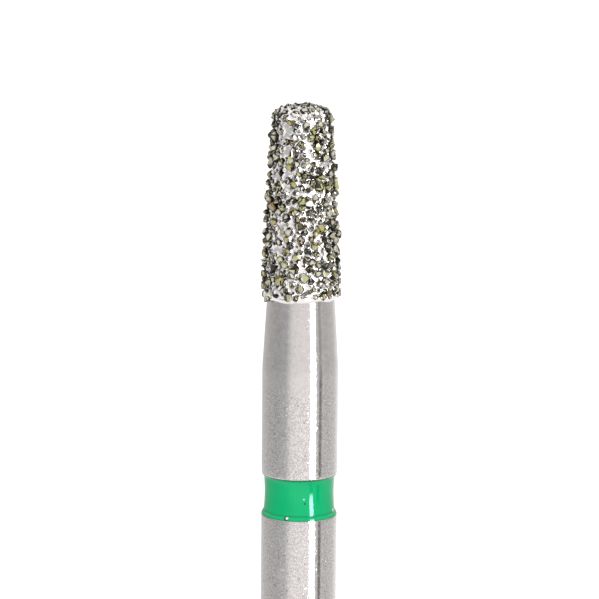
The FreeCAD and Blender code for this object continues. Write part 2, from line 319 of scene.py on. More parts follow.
def spaced(outline):
    """The outline with places added, so that no step is too long."""
    fuller = [outline[0]]
    for a, b in zip(outline, outline[1:]):
        count = max(1, math.ceil(math.dist(a, b) / LONGEST_STEP))
        start, step = np.array(a), np.array(b) - np.array(a)
        fuller += [tuple(start + step * k / count) for k in range(1, count + 1)]
    return fuller


def catmull(points, steps):
    """A smooth line through the points, with that many steps between each two."""
    places = [np.array(p, float) for p in points]
    places = [2 * places[0] - places[1]] + places + [2 * places[-1] - places[-2]]
    line = []
    for p0, p1, p2, p3 in zip(places, places[1:], places[2:], places[3:]):
        for k in range(steps):
            t = k / steps
            square = (2 * p0 - 5 * p1 + 4 * p2 - p3) * t * t
            cube = (3 * p1 - p0 - 3 * p2 + p3) * t ** 3
            line.append(tuple(0.5 * (2 * p1 + (p2 - p0) * t + square + cube)))
    line.append(tuple(places[-2]))
    return line


# The steel blank: shank, band groove, collar, neck and hidden core
def neck_curve():
    """The neck's arc, which leaves the shank along its side and ends at the head's foot."""
    drop, length = SHANK_RADIUS - NECK_TOP_RADIUS, HEAD_FOOT - NECK_FOOT
    bend = (drop * drop + length * length) / (2 * drop)
    line = []
    for z in np.linspace(NECK_FOOT, HEAD_FOOT, NECK_STEPS):
        share = (z - NECK_FOOT) / length
        hollow = NECK_HOLLOW * math.sin(math.pi * share) * min(1, 4 * share)
        line.append((SHANK_RADIUS - bend + math.sqrt(bend * bend - (z - NECK_FOOT) ** 2) - hollow, z))
    return line


def make_blank():
    """The steel, turned in one piece from the shank's end to the core's top."""
    groove_top = GROOVE_FOOT + GROOVE_HEIGHT
    floor_radius = SHANK_RADIUS - GROOVE_DEPTH
    shank = softened(
        [
            (SHANK_RADIUS - CHAMFER, 0.0),
            (SHANK_RADIUS, CHAMFER),
            (SHANK_RADIUS, GROOVE_FOOT),
            (floor_radius, GROOVE_FOOT + LOWER_WALL_RISE),
            (floor_radius, groove_top - UPPER_WALL_RISE),
            (SHANK_RADIUS, groove_top),
            (SHANK_RADIUS, NECK_FOOT),
        ]
    )
    neck = [(r + (FILM if z > FILM_FOOT else 0.0), z) for r, z in neck_curve()]
    core_top = NECK_TOP_RADIUS - HEAD_LENGTH * math.tan(HEAD_TAPER)
    core = [(core_top, HEAD_TOP - CORE_ROUND), (core_top - CORE_ROUND, HEAD_TOP)]
    piece = turned("steel_shank", spaced(shank + neck[1:] + core))
    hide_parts("steel_blank")
    return piece


def make_band():
    """The enamel in the groove, which dips between its edges."""
    outline = catmull([(radius, GROOVE_FOOT + up) for radius, up in ENAMEL_LINE], ENAMEL_STEPS)
    outline.append((ENAMEL_INSIDE, GROOVE_FOOT + GROOVE_HEIGHT - UPPER_WALL_RISE))
    outline.append((ENAMEL_INSIDE, GROOVE_FOOT + LOWER_WALL_RISE))
    outline.append(outline[0])
    piece = turned("colour_band_enamel", outline, closed=False)
    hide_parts("colour_band")
    return piece


# The head's outer line, which the nickel's skin and all the stones are set out on
def head_line():
    """Radius, height, outward share and upward share of each place on the coat's outline, foot to tip."""
    tan, cos, sin = math.tan(HEAD_TAPER), math.cos(HEAD_TAPER), math.sin(HEAD_TAPER)
    outer_round = CORE_ROUND + COAT
    round_z = HEAD_TOP - CORE_ROUND
    round_r = NECK_TOP_RADIUS - (round_z - HEAD_FOOT) * tan - CORE_ROUND / cos
    side_top = round_z + CORE_ROUND * sin
    line = []
    for z in np.linspace(HEAD_FOOT, side_top, SIDE_RINGS):
        radius = NECK_TOP_RADIUS - (z - HEAD_FOOT) * tan
        line.append((radius + COAT * cos, z + COAT * sin, cos, sin))
    for tilt in np.linspace(HEAD_TAPER, math.pi / 2, BEND_RINGS)[1:]:
        across, up = math.cos(tilt), math.sin(tilt)
        line.append((round_r + outer_round * across, round_z + outer_round * up, across, up))
    for radius in np.linspace(round_r, SMALLEST_RING, TOP_RINGS)[1:]:
        line.append((radius, HEAD_TOP + COAT, 0.0, 1.0))
    return np.array(line)


HEAD_LINE = head_line()
HEAD_RUN = np.concatenate([[0], np.cumsum(np.hypot(np.diff(HEAD_LINE[:, 0]), np.diff(HEAD_LINE[:, 1])))])


def height_over(points):
    """How far each point stands out from the coat's outline."""
    radius, height = np.hypot(points[:, 0], points[:, 1]), points[:, 2]
    nearest = np.hypot(radius[:, None] - HEAD_LINE[:, 0], height[:, None] - HEAD_LINE[:, 1]).argmin(axis=1)
    line_radius, line_height, across, up = HEAD_LINE[nearest].T
    return (radius - line_radius) * across + (height - line_height) * up


def to_the_right(degrees):
    """Direction away from the axis, that many degrees to the right of the front."""
    return np.array([math.sin(math.radians(degrees)), -math.cos(math.radians(degrees)), 0.0])


def place_on_head(degrees, along):
    """Place and outward direction on the coat's outline, at that run from its foot."""
    radius, height, across, up = (np.interp(along, HEAD_RUN, column) for column in HEAD_LINE.T)
    side = to_the_right(degrees)
    return side * radius + UP * height, side * across + UP * up


def outward(place):
    """Direction away from the head at a place on it."""
    side = np.array([place[0], place[1], 0.0])
    side = side / max(np.linalg.norm(side), TINY)
    tilt = math.radians(90) * min(max((place[2] - BEND_FOOT) / BEND_HEIGHT, 0.0), 1.0)
    return side * math.cos(tilt) + UP * math.sin(tilt)


# The crystals' shapes
def stones_of(node_name):
    """All corners of a node's crystals, in millimetres, and the faces of each crystal."""
    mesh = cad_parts[node_name].data
    places = {}
    index = [places.setdefault(tuple(round(c / MM, 4) for c in v.co), len(places)) for v in mesh.vertices]
    owner = list(range(len(places)))

    def root(k):
        while owner[k] != k:
            owner[k] = owner[owner[k]]
            k = owner[k]
        return k

    # Corners that share a face are of one crystal
    faces = [[index[v] for v in face.vertices] for face in mesh.polygons]
    for face in faces:
        for k in face[1:]:
            owner[root(k)] = root(face[0])
    stones = {}
    for face in faces:
        stones.setdefault(root(face[0]), []).append(face)
    return np.array(list(places)), list(stones.values())


def corners_used(faces):
    return sorted({k for face in faces for k in face})


def hull_of(points):
    """Corners and flat faces of the smallest convex body round the points."""
    work = bmesh.new()
    for p in points:
        work.verts.new(p)
    found = bmesh.ops.convex_hull(work, input=work.verts)
    # A corner may be in both of these lists
    spare = found["geom_interior"] + found["geom_unused"]
    loose = list({e for e in spare if isinstance(e, bmesh.types.BMVert)})
    bmesh.ops.delete(work, geom=loose, context="VERTS")
    bmesh.ops.dissolve_limit(work, angle_limit=FLAT_WITHIN, verts=work.verts, edges=work.edges)
    work.verts.ensure_lookup_table()
    work.verts.index_update()
    corners = [tuple(v.co) for v in work.verts]
    faces = [tuple(v.index for v in f.verts) for f in work.faces]
    work.free()
    return corners, faces


def worn_stone(rng, corners, faces):
    """Points of a crystal inside those faces, with worn edges and blunt corners."""
    blunt = {k: rng.uniform(*CORNER_WEAR) ** CORNER_WEAR_POWER for k in corners_used(faces)}
    points = []
    for face in faces:
        middle = np.mean([corners[k] for k in face], axis=0)
        worn = rng.uniform(*EDGE_WEAR)
        points += [corners[k] + (middle - corners[k]) * (worn + blunt[k]) for k in face]
    return np.array(points)


def uneven_stone(rng, corners, faces):
    """Points of a crystal whose faces partly bulge to corners of their own, drawn out one way."""
    places = [corners[k] for k in corners_used(faces)]
    middle = np.mean(places, axis=0)
    for face in faces:
        if rng.random() < BULGE_CHANCE:
            centre = np.mean([corners[k] for k in face], axis=0)
            places.append(middle + (centre - middle) * rng.uniform(*BULGE))
    way = np.array([rng.gauss(0, 1) for _ in range(3)])
    way /= np.linalg.norm(way)
    places = np.array(places)
    places += np.outer((places - middle) @ way, way) * rng.uniform(*STRETCH)
    corners, faces = hull_of(places)
    return worn_stone(rng, np.array(corners), faces)


def eight_faces(rng, centre, reach):
    """Corners and faces of an uneven body with eight faces."""
    turn = Matrix.Rotation(rng.uniform(*ANY_TURN), 3, "X") @ Matrix.Rotation(rng.uniform(*ANY_TURN), 3, "Z")
    corners = []
    for axis in ((1, 0, 0), (0, 1, 0), (0, 0, 1)):
        arm = np.array(turn @ Vector(axis)) * reach
        corners += [centre + arm * rng.uniform(*ARM), centre - arm * rng.uniform(*ARM)]
    return np.array(corners), [(a, b, c) for a in (0, 1) for b in (2, 3) for c in (4, 5)]


def seated(points, growth, out, top):
    """The crystal made larger and set so deep that it reaches that far out, within the grit's limits.

    Its centre and its mean reach come with it."""
    centre = points.mean(axis=0)
    away = (points - centre) * growth
    centre = centre + out * (top - ((centre + away) @ out).max())
    placed = centre + away
    across = np.hypot(placed[:, 0], placed[:, 1])
    placed[:, :2] *= np.minimum(WIDEST / np.maximum(across, TINY), 1)[:, None]
    fall = TIP_FALL * np.maximum(np.hypot(placed[:, 0], placed[:, 1]) - TIP_FLAT, 0)
    placed[:, 2] = np.minimum(placed[:, 2], HIGHEST - fall)
    return placed, centre, float(np.linalg.norm(away, axis=1).mean())


# The crystals' places
def balls_of(stones):
    """An array of centre and reach for each stone."""
    return np.array([[*centre, reach] for centre, reach in stones])


def touches(centre, reach, balls, share=1.0):
    """Whether a stone is nearer to one of the balls than that share of their two reaches."""
    return (np.linalg.norm(balls[:, :3] - centre, axis=1) < (balls[:, 3] + reach) * share).any()


def seen_stones(rng):
    """The listed stones: kind, points, centre and reach."""
    found = []
    least, most = SEEN_RISE
    for kind, places in SEEN_STONES.items():
        for degrees, along, reach in places:
            centre, out = place_on_head(degrees, along)
            points = uneven_stone(rng, *eight_faces(rng, centre, reach))
            rise = min(max(SEEN_RISE_SHARE * reach, least), most) * (1 - SEEN_TOP_LOSS * out[2])
            growth = reach / np.linalg.norm(points - points.mean(axis=0), axis=1).mean()
            found.append((kind, *seated(points, growth, out, centre @ out + rise)))
    return found


def lay_stones(rng, bare):
    """Centre and reach of each crystal, and the points and hue of those that replace each node.

    Where there is no listed stone and no bare place, the solids' own crystals are followed."""
    stones, shapes = [], {"grit_grey": [], "grit_olive": []}
    for kind, points, centre, reach in seen_stones(rng):
        node_name, hue = KINDS[kind]
        stones.append((centre, reach))
        shapes[node_name].append((points, hue + rng.uniform(-HUE_SPREAD, HUE_SPREAD)))
    seen = balls_of(stones)
    for node_name, found in shapes.items():
        corners, crystals = stones_of(node_name)
        for faces in crystals:
            own = corners[corners_used(faces)]
            out = outward(own.mean(axis=0))
            points = uneven_stone(rng, corners, faces)
            top = (own @ out).max() + rng.uniform(*SIDE_RISE) * (1 - out[2])
            top -= rng.uniform(*TOP_SINK) * out[2]
            shape, centre, reach = seated(points, rng.uniform(*STONE_GROWTH), out, top)
            if touches(centre, reach, seen, CROWDED) or touches(centre, 0, bare):
                continue
            stones.append((centre, reach))
            found.append((shape, rng.random()))
    return stones, shapes


def scatter_fragments(stones, bare, rng):
    """Places for broken pieces in the gaps between the crystals, away from the bare places."""
    taken = balls_of(stones)
    for count, least, most in FRAGMENTS:
        goal = len(taken) + count
        for _ in range(FRAGMENT_TRIES):
            if len(taken) >= goal:
                break
            radius, height, across, up = HEAD_LINE[rng.randrange(FOOT_RINGS, len(HEAD_LINE) - TIP_RINGS)]
            # A narrow ring gets fewer of them
            if rng.random() * SHANK_RADIUS > radius:
                continue
            turn = rng.uniform(0, 2 * math.pi)
            reach = rng.uniform(least, most)
            lift = NICKEL_AT_STONE + rng.uniform(*FRAGMENT_LIFT) * reach
            radius, height = radius + across * lift, height + up * lift
            centre = np.array([radius * math.cos(turn), radius * math.sin(turn), height])
            crowded = touches(centre, reach * FRAGMENT_OWN_SHARE, taken, FRAGMENT_CROWDED)
            if not crowded and not touches(centre, 0, bare):
                taken = np.vstack([taken, [*centre, reach]])
    return [(row[:3], row[3]) for row in taken[len(stones):]]


# The grit's pieces
def width_of(loop):
    """Rough width of a flat polygon."""
    total = np.zeros(3)
    for a, b in zip(loop[1:], loop[2:]):
        total += np.cross(a - loop[0], b - loop[0])
    return np.linalg.norm(total) / np.linalg.norm(loop - np.roll(loop, 1, axis=0), axis=1).sum()


def facet_values(rng, corners, faces):
    """A value for each face, low on the narrow faces of worn edges, which the material paints as shade."""
    count = len(faces)
    reach = np.linalg.norm(corners - corners.mean(axis=0), axis=1).mean()
    width = np.array([width_of(corners[list(face)]) for face in faces])
    pick = rng.random(count)
    dark, middling, bright, worn = (rng.uniform(low, high, count) for low, high in FACET_VALUES)
    wide = np.where(pick < DARK_UP_TO, dark, np.where(pick < MIDDLING_UP_TO, middling, bright))
    return list(np.where(width < WORN_WIDTH * reach, worn, wide))


def gather(name, stones):
    """One piece of many separate stones, each with its points and its hue from 0 to 1.

    Its faces carry the facet's value and the stone's hue. Its points carry their height over the nickel,
    as a share of the stone's own height."""
    rng = np.random.default_rng(len(stones))
    points, faces, facets, hues, rises = [], [], [], [], []
    for places, hue in stones:
        corners, sides = hull_of(places)
        corners = np.array(corners)
        facets += facet_values(rng, corners, sides)
        hues += [hue] * len(sides)
        over = height_over(corners) - NICKEL_AT_STONE
        rises += list(over / max(over.max(), LEAST_STANDING))
        base = len(points)
        points += corners.tolist()
        faces += [tuple(base + k for k in side) for side in sides]
    piece = mesh_piece(name, points, faces, smooth=False)
    carried = (("facet", "FACE", facets), ("hue", "FACE", hues), ("rise", "POINT", rises))
    for title, domain, values in carried:
        made = piece.data.attributes.new(title, "FLOAT", domain)
        made.data.foreach_set("value", np.array(values, np.float32))
    return piece


def make_fines(small, rng):
    """The broken pieces, which are darker low on the head, where more of them are near-black painted shade.
    """
    broken = []
    for centre, reach in small:
        points = worn_stone(rng, *eight_faces(rng, centre, reach))
        broken.append((points, rng.random() ** (DARK_POWER if centre[2] < DARK_BELOW else 1.0)))
    return gather("grit_fines", broken)


# The nickel
def ripple(points, wavelength, seed):
    """Smooth random height from -1 to 1 or so at each point."""
    rng = np.random.default_rng(seed)
    ways = rng.normal(size=(WAVES, 3))
    pace = 2 * math.pi / wavelength * rng.uniform(*WAVE_PACE, WAVES) / np.linalg.norm(ways, axis=1)
    ways *= pace[:, None]
    return np.cos(points @ ways.T + rng.uniform(*ANY_TURN, WAVES)).sum(axis=1) / math.sqrt(WAVES)


def climbs_at(base, out, stones):
    """How far the skin climbs at each of its places, as a share of the full climb, ring by ring."""
    balls = balls_of(stones)
    rings = zip(HEAD_LINE[:, 1], base.reshape(-1, SKIN_SIDES, 3), out.reshape(-1, SKIN_SIDES, 3))
    climbs = []
    for height, places, ways in rings:
        near = balls[np.abs(balls[:, 2] - height) < CLIMB_NEAR]
        away = places[:, None, :] - near[None, :, :3]
        along = (away * ways[:, None, :]).sum(axis=2)
        flat = np.sqrt(np.maximum((away ** 2).sum(axis=2) - along ** 2, 0))
        climb = np.exp(-np.maximum(flat - near[:, 3] * CLIMB_START, 0) / CLIMB_FADE)
        climb = climb * (np.abs(along) < CLIMB_DEEPEST) * np.minimum(near[:, 3] / CLIMB_REACH, CLIMB_MOST)
        climbs.append(np.minimum((climb ** 3).sum(axis=1) ** (1 / 3), CLIMB_MEETING))
    return np.concatenate(climbs)


def make_coat(stones):
    """The nickel's skin, which climbs round each stone, with a rounded lip at the neck."""
    angles = np.arange(SKIN_SIDES) * 2 * math.pi / SKIN_SIDES

    def swept(across, up):
        """Places or directions on all sides of the axis, one ring for each row."""
        columns = [across * np.cos(angles), across * np.sin(angles), up + 0 * angles]
        return np.stack(columns, axis=-1).reshape(-1, 3)

    line_radius, line_height, across, up = (column[:, None] for column in HEAD_LINE.T)
    base, out = swept(line_radius, line_height), swept(across, up)
    rise = climbs_at(base, out, stones) * NICKEL_CLIMB
    rise += sum(height * ripple(base, length, seed) for height, length, seed in SKIN_WAVES)
    from_foot = base[:, 2] - HEAD_FOOT
    rise -= NICKEL_DIP * np.clip((from_foot - DIP_START) / DIP_RUN, 0, 1)
    lip = np.clip(from_foot / LIP_RUN, 0, 1)
    sink = (1 - np.sqrt(np.clip(1 - (1 - lip) ** 2, 0, 1))) * (COAT - LIP_EDGE)
    rise = rise * np.clip(from_foot / DIP_RUN, 0.0, 1.0) - sink
    points = base + out * rise[:, None]
    # The lower edge runs up and down a little, by the same wave at every height
    height, length, seed = EDGE_WAVE
    wave = height * ripple(base * (1, 1, 0), length, seed)
    points[:, 2] += wave * np.clip(1 - from_foot / EDGE_WAVE_RUN, 0, 1)
    # The last ring closes to a point
    tip = len(points)
    last = tip - SKIN_SIDES
    points = np.vstack([points, points[last:].mean(axis=0)])
    faces = wall_faces(len(HEAD_LINE), SKIN_SIDES)
    faces += [(last + k, last + (k + 1) % SKIN_SIDES, tip) for k in range(SKIN_SIDES)]
    piece = mesh_piece("nickel_skin", points, faces)
    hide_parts("nickel_coat")
    return piece


# Materials. Scales are waves or cells a metre, and bump distances are metres.
def material(name):
    """A new material, its node tree and its principled shader."""
    made = bpy.data.materials.new(name)
    made.use_nodes = True
    tree = made.node_tree
    return made, tree, tree.nodes["Principled BSDF"]


def feed(tree, made, inputs):
    """Sets a node's inputs; an input is linked if its value is a socket."""
    for key, value in inputs:
        if isinstance(value, bpy.types.NodeSocket):
            tree.links.new(value, made.inputs[key])
        else:
            made.inputs[key].default_value = value


def node(tree, kind, inputs=(), **settings):
    """A new node with its settings and inputs."""
    made = tree.nodes.new(kind)
    for key, value in settings.items():
        setattr(made, key, value)
    feed(tree, made, inputs)
    return made


def object_place(tree):
    return node(tree, "ShaderNodeTexCoord").outputs["Object"]


def calculated(tree, operation, *values):
    """The result of a sum or comparison of those values."""
    return node(tree, "ShaderNodeMath", enumerate(values), operation=operation).outputs[0]


def ramp(tree, factor, stops):
    """A colour ramp over factor with (position, colour) stops."""
    made = node(tree, "ShaderNodeValToRGB", [("Fac", factor)])
    elements = made.color_ramp.elements
    while len(elements) < len(stops):
        elements.new(0.5)
    for element, (position, colour) in zip(elements, stops):
        element.position = position
        element.color = (*colour, 1.0)
    return made.outputs["Color"]


def levels(tree, factor, stops):
    """A ramp over factor with (position, grey level) stops."""
    return ramp(tree, factor, [(position, (level, level, level)) for position, level in stops])


def noise(tree, place, scale, detail):
    """Random height from about 0.3 to 0.7."""
    inputs = [("Vector", place), ("Scale", scale), ("Detail", detail)]
    return node(tree, "ShaderNodeTexNoise", inputs).outputs["Fac"]


def cells(tree, place, scale):
    """Distance to the middle of the nearest random cell."""
    return node(tree, "ShaderNodeTexVoronoi", [("Vector", place), ("Scale", scale)]).outputs["Distance"]


def spread(tree, value, low, high, least, most):
    """A value between low and high, spread from least to most."""
    limits = [("From Min", low), ("From Max", high), ("To Min", least), ("To Max", most)]
    return node(tree, "ShaderNodeMapRange", [("Value", value), *limits]).outputs["Result"]


def mixed(tree, first, second, factor=1.0, way="MIX"):
    """Two colours mixed in the way that is named; each may be a socket or a colour."""
    made = node(tree, "ShaderNodeMix", data_type="RGBA", blend_type=way)
    factor_at = 0
    first_at, second_at = (at for at, socket in enumerate(made.inputs) if socket.type == "RGBA")
    feed(tree, made, [(factor_at, factor), (first_at, first), (second_at, second)])
    return next(socket for socket in made.outputs if socket.type == "RGBA")


def times(tree, first, second):
    """One colour multiplied by another."""
    return mixed(tree, first, second, 1.0, "MULTIPLY")


def bump(tree, height, strength, distance, below=None):
    """A normal from a height, over another normal if there is one."""
    inputs = [("Height", height), ("Strength", strength), ("Distance", distance)]
    if below:
        inputs.append(("Normal", below))
    return node(tree, "ShaderNodeBump", inputs).outputs["Normal"]


# Heights between which the coarse grain of the shank gives way to the ground neck
GRAIN_FADE = (12.85, 13.20)


def steel_material():
    """Steel turned round its axis, with specks, small bumps brightened as painted glints, and pits."""
    made, tree, shader = material("ground_steel")
    place = object_place(tree)
    height = node(tree, "ShaderNodeSeparateXYZ", [("Vector", place)]).outputs["Z"]
    tangent = node(tree, "ShaderNodeTangent", direction_type="RADIAL", axis="Z").outputs["Tangent"]
    coarse = spread(tree, height, GRAIN_FADE[0] * MM, GRAIN_FADE[1] * MM, 1.0, 0.26)
    grain = noise(tree, place, 42000.0, 2.0)
    patch = noise(tree, place, 9000.0, 3.0)
    speck = noise(tree, place, 36000.0, 3.0)
    mottle = noise(tree, place, 17000.0, 2.0)
    glint_cells = cells(tree, place, 7400.0)
    pit = spread(tree, cells(tree, place, 5200.0), 0.06, 0.14, 0.0, 1.0)
    even = ramp(tree, patch, [(0.30, (0.665, 0.635, 0.623)), (0.70, (0.705, 0.674, 0.662))])
    flecks_and_glints = times(tree, even, levels(tree, speck, [(0.30, 0.70), (0.50, 0.98), (0.70, 1.22)]))
    flecks_and_glints = times(tree, flecks_and_glints, levels(tree, mottle, [(0.30, 0.93), (0.70, 1.07)]))
    # Brighter near the middle of each cell: painted glints on the small bumps
    flecks_and_glints = times(tree, flecks_and_glints, spread(tree, glint_cells, 0.07, 0.15, 1.30, 1.0))
    flecks_and_glints = times(tree, flecks_and_glints, levels(tree, pit, [(0.0, 0.45), (0.8, 1.0)]))
    relief = bump(tree, grain, coarse, 0.8e-6)
    relief = bump(tree, spread(tree, glint_cells, 0.05, 0.19, 1.0, 0.0), coarse, 2.6e-6, relief)
    inputs = [
        ("Base Color", mixed(tree, even, flecks_and_glints, coarse)),
        ("Metallic", 1.0),
        ("Roughness", spread(tree, patch, 0.3, 0.7, 0.13, 0.19)),
        ("Anisotropic", 1.0),
        ("Anisotropic Rotation", 0.25),
        ("Tangent", tangent),
        ("Normal", bump(tree, pit, 0.5, 1.5e-6, relief)),
    ]
    feed(tree, shader, inputs)
    return made


# The enamel's brightness from foot to top: dark along both edges and a little darker in the crease over the
# lower one, all painted shade where the enamel meets the steel and in the crease
ENAMEL_EDGE_SHADE = (
    (0.005, 0.34), (0.030, 0.95), (0.080, 1.0), (0.112, 0.60), (0.150, 1.0), (0.940, 1.0), (0.970, 0.36),
)


def enamel_material():
    """Glossy green enamel, painted shade at its edges and a crease, and spots, some painted highlights."""
    made, tree, shader = material("green_enamel")
    place = object_place(tree)
    height = node(tree, "ShaderNodeSeparateXYZ", [("Vector", place)]).outputs["Z"]
    share = spread(tree, height, GROOVE_FOOT * MM, (GROOVE_FOOT + GROOVE_HEIGHT) * MM, 0.0, 1.0)
    cloud = noise(tree, place, 1600.0, 3.0)
    tone = ramp(tree, cloud, [(0.3, (0.0, 0.510, 0.178)), (0.7, (0.0, 0.550, 0.198))])
    # Painted shade along both edges and in the crease over the lower one
    tone = times(tree, tone, levels(tree, share, ENAMEL_EDGE_SHADE))
    # Each spot is mixed over the tone; the white ones are painted highlights, the bubble's ring painted shade
    for degrees, radius, up, reach, colour in ENAMEL_SPOTS_AND_GLINTS:
        spot = tuple((to_the_right(degrees) * radius + UP * (GROOVE_FOOT + up)) * MM)
        away = node(tree, "ShaderNodeVectorMath", [(0, place), (1, spot)], operation="DISTANCE")
        share_out = spread(tree, away.outputs["Value"], 0.0, reach * MM, 0.0, 1.0)
        inside = levels(tree, share_out, [(0.7, 1.0), (1.0, 0.0)])
        tone = mixed(tree, tone, (*colour, 1.0), inside)
    inputs = [
        ("Base Color", tone),
        ("Roughness", spread(tree, cloud, 0.3, 0.7, 0.04, 0.08)),
        ("IOR", 1.44),
        ("Specular Tint", (0.66, 1.0, 1.0, 1.0)),
        ("Normal", bump(tree, cloud, 0.3, 1.2e-5)),
    ]
    feed(tree, shader, inputs)
    return made


def nickel_material():
    """Bright nickel, a little uneven."""
    made, tree, shader = material("bright_nickel")
    cloud = noise(tree, object_place(tree), 9000.0, 3.0)
    inputs = [
        ("Base Color", ramp(tree, cloud, [(0.3, (0.90, 0.862, 0.842)), (0.7, (0.97, 0.945, 0.93))])),
        ("Metallic", 0.82),
        ("Roughness", spread(tree, cloud, 0.3, 0.7, 0.14, 0.26)),
        ("Normal", bump(tree, cloud, 0.25, 1.5e-6)),
    ]
    feed(tree, shader, inputs)
    return made


# Crystal tones by hue, from dark to pale. The near-black low ends of the grey and fine tones stand in for
# the dark holes between crystals: painted shade
GREY_TONES = (
    (0.0, (0.02, 0.017, 0.014)),
    (0.12, (0.10, 0.09, 0.07)),
    (0.2, (0.72, 0.65, 0.42)),
    (0.6, (1.0, 0.95, 0.68)),
    (1.0, (1.0, 1.0, 0.88)),
)
OLIVE_TONES = (
    (0.0, (0.40, 0.22, 0.06)),
    (0.25, (0.50, 0.38, 0.07)),
    (0.55, (0.66, 0.60, 0.20)),
    (0.8, (0.82, 0.79, 0.36)),
    (1.0, (0.88, 0.90, 0.38)),
)
FINE_TONES = (
    (0.0, (0.01, 0.009, 0.007)),
    (0.38, (0.03, 0.025, 0.015)),
    (0.50, (0.50, 0.43, 0.20)),
    (0.75, (0.80, 0.76, 0.48)),
    (1.0, (0.97, 0.96, 0.82)),
)
# What a facet's value does: painted light and shade on that tone, its gloss, and how far it is painted white
# as a glint
FACET_SHADE = ((0.0, 0.01), (0.12, 0.04), (0.14, 0.08), (0.32, 0.36), (0.40, 0.86), (0.55, 1.0))
FACET_GLOSS = ((0.0, 0.02), (0.13, 0.05), (0.35, 0.35), (0.5, 0.5))
FACET_GLINT = ((0.78, 0.0), (0.90, 0.55), (1.0, 1.0))
GLINT_WHITE = (1.0, 0.99, 0.90, 1.0)


def diamond_material(name, tones):
    """Cloudy crystal: a tone, painted light, shade and glints on facets, painted shade at the foot."""
    made, tree, shader = material(name)
    facet, hue, rise = (
        node(tree, "ShaderNodeAttribute", attribute_name=title).outputs["Fac"]
        for title in ("facet", "hue", "rise")
    )
    cloud = noise(tree, object_place(tree), 14000.0, 3.0)
    # Painted shade where a stone meets the nickel, on its colour and its gloss
    foot = spread(tree, rise, 0.25, 0.64, 0.004, 1.0)
    # Dark, middling and bright facets: painted shade and light on the stone's tone
    tone = times(tree, ramp(tree, hue, tones), levels(tree, facet, FACET_SHADE))
    # Some facets mixed towards white: painted glints
    tone = mixed(tree, tone, GLINT_WHITE, levels(tree, facet, FACET_GLINT))
    tone = times(tree, tone, levels(tree, cloud, [(0.35, 0.78), (0.65, 1.0)]))
    inputs = [
        ("Base Color", times(tree, tone, foot)),
        ("Roughness", spread(tree, cloud, 0.3, 0.7, 0.03, 0.16)),
        ("IOR", 2.0),
        ("Transmission Weight", 0.22),
        ("Specular IOR Level", times(tree, levels(tree, facet, FACET_GLOSS), foot)),
        ("Specular Tint", (1.0, 0.94, 0.80, 1.0)),
        ("Normal", bump(tree, cloud, 0.5, 5.0e-6)),
    ]
    feed(tree, shader, inputs)
    return made


def wear(piece, made):
    """Gives a piece its one material."""
    piece.data.materials.clear()
    piece.data.materials.append(made)


# Studio. Lengths are in metres from here on.
# The strip light's level in reflections, and the level of the room's plain light
STRIP_LEVEL = 26.0
ROOM_LEVEL = 0.44
WHITE = (1.0, 1.0, 1.0)
# The walls, by degrees to the right of the front: their level and their tint
WALL_LEVELS = (
    (-180, 1.0), (-152, 0.68), (-130, 0.64), (-104, 0.53), (-71, 0.47), (-44, 0.545), (-37, 0.72),
    (-25, 1.0), (0, 1.08), (33.5, 1.12), (50, 0.90), (52, 0.76), (59.5, 0.70), (70, 0.685), (85, 0.62),
    (125, 0.75), (150, 1.0),
)
WALL_TINTS = (
    (-180, WHITE), (-90, WHITE), (-60, (0.975, 0.99, 1.02)), (-38, (0.98, 0.99, 1.015)),
    (-20, (1.01, 0.995, 0.99)), (25, (1.015, 0.995, 0.99)), (60, WHITE), (180, WHITE),
)
# The floor's half width and tone, and the glow that makes it white where the camera sees it
FLOOR_HALF = 2.0
FLOOR_TONE = 0.82
FLOOR_LIFT = 0.68
# The lamp
KEY_PLACE = (0.028, -0.20, 0.155)
KEY_AIM = (0, 0, 0.014)
KEY_SIZE = 0.12
KEY_POWER = 0.34
# The camera, with the angle by which it looks down and its roll, both in radians
CAMERA_LENS = 230.0
CAMERA_SENSOR = 36.0
CAMERA_AWAY = 0.080
CAMERA_AIM = Vector((-0.0268, 0, 14.843)) * MM
LOOK_DOWN = math.radians(10.8)
ROLL = 0.0085


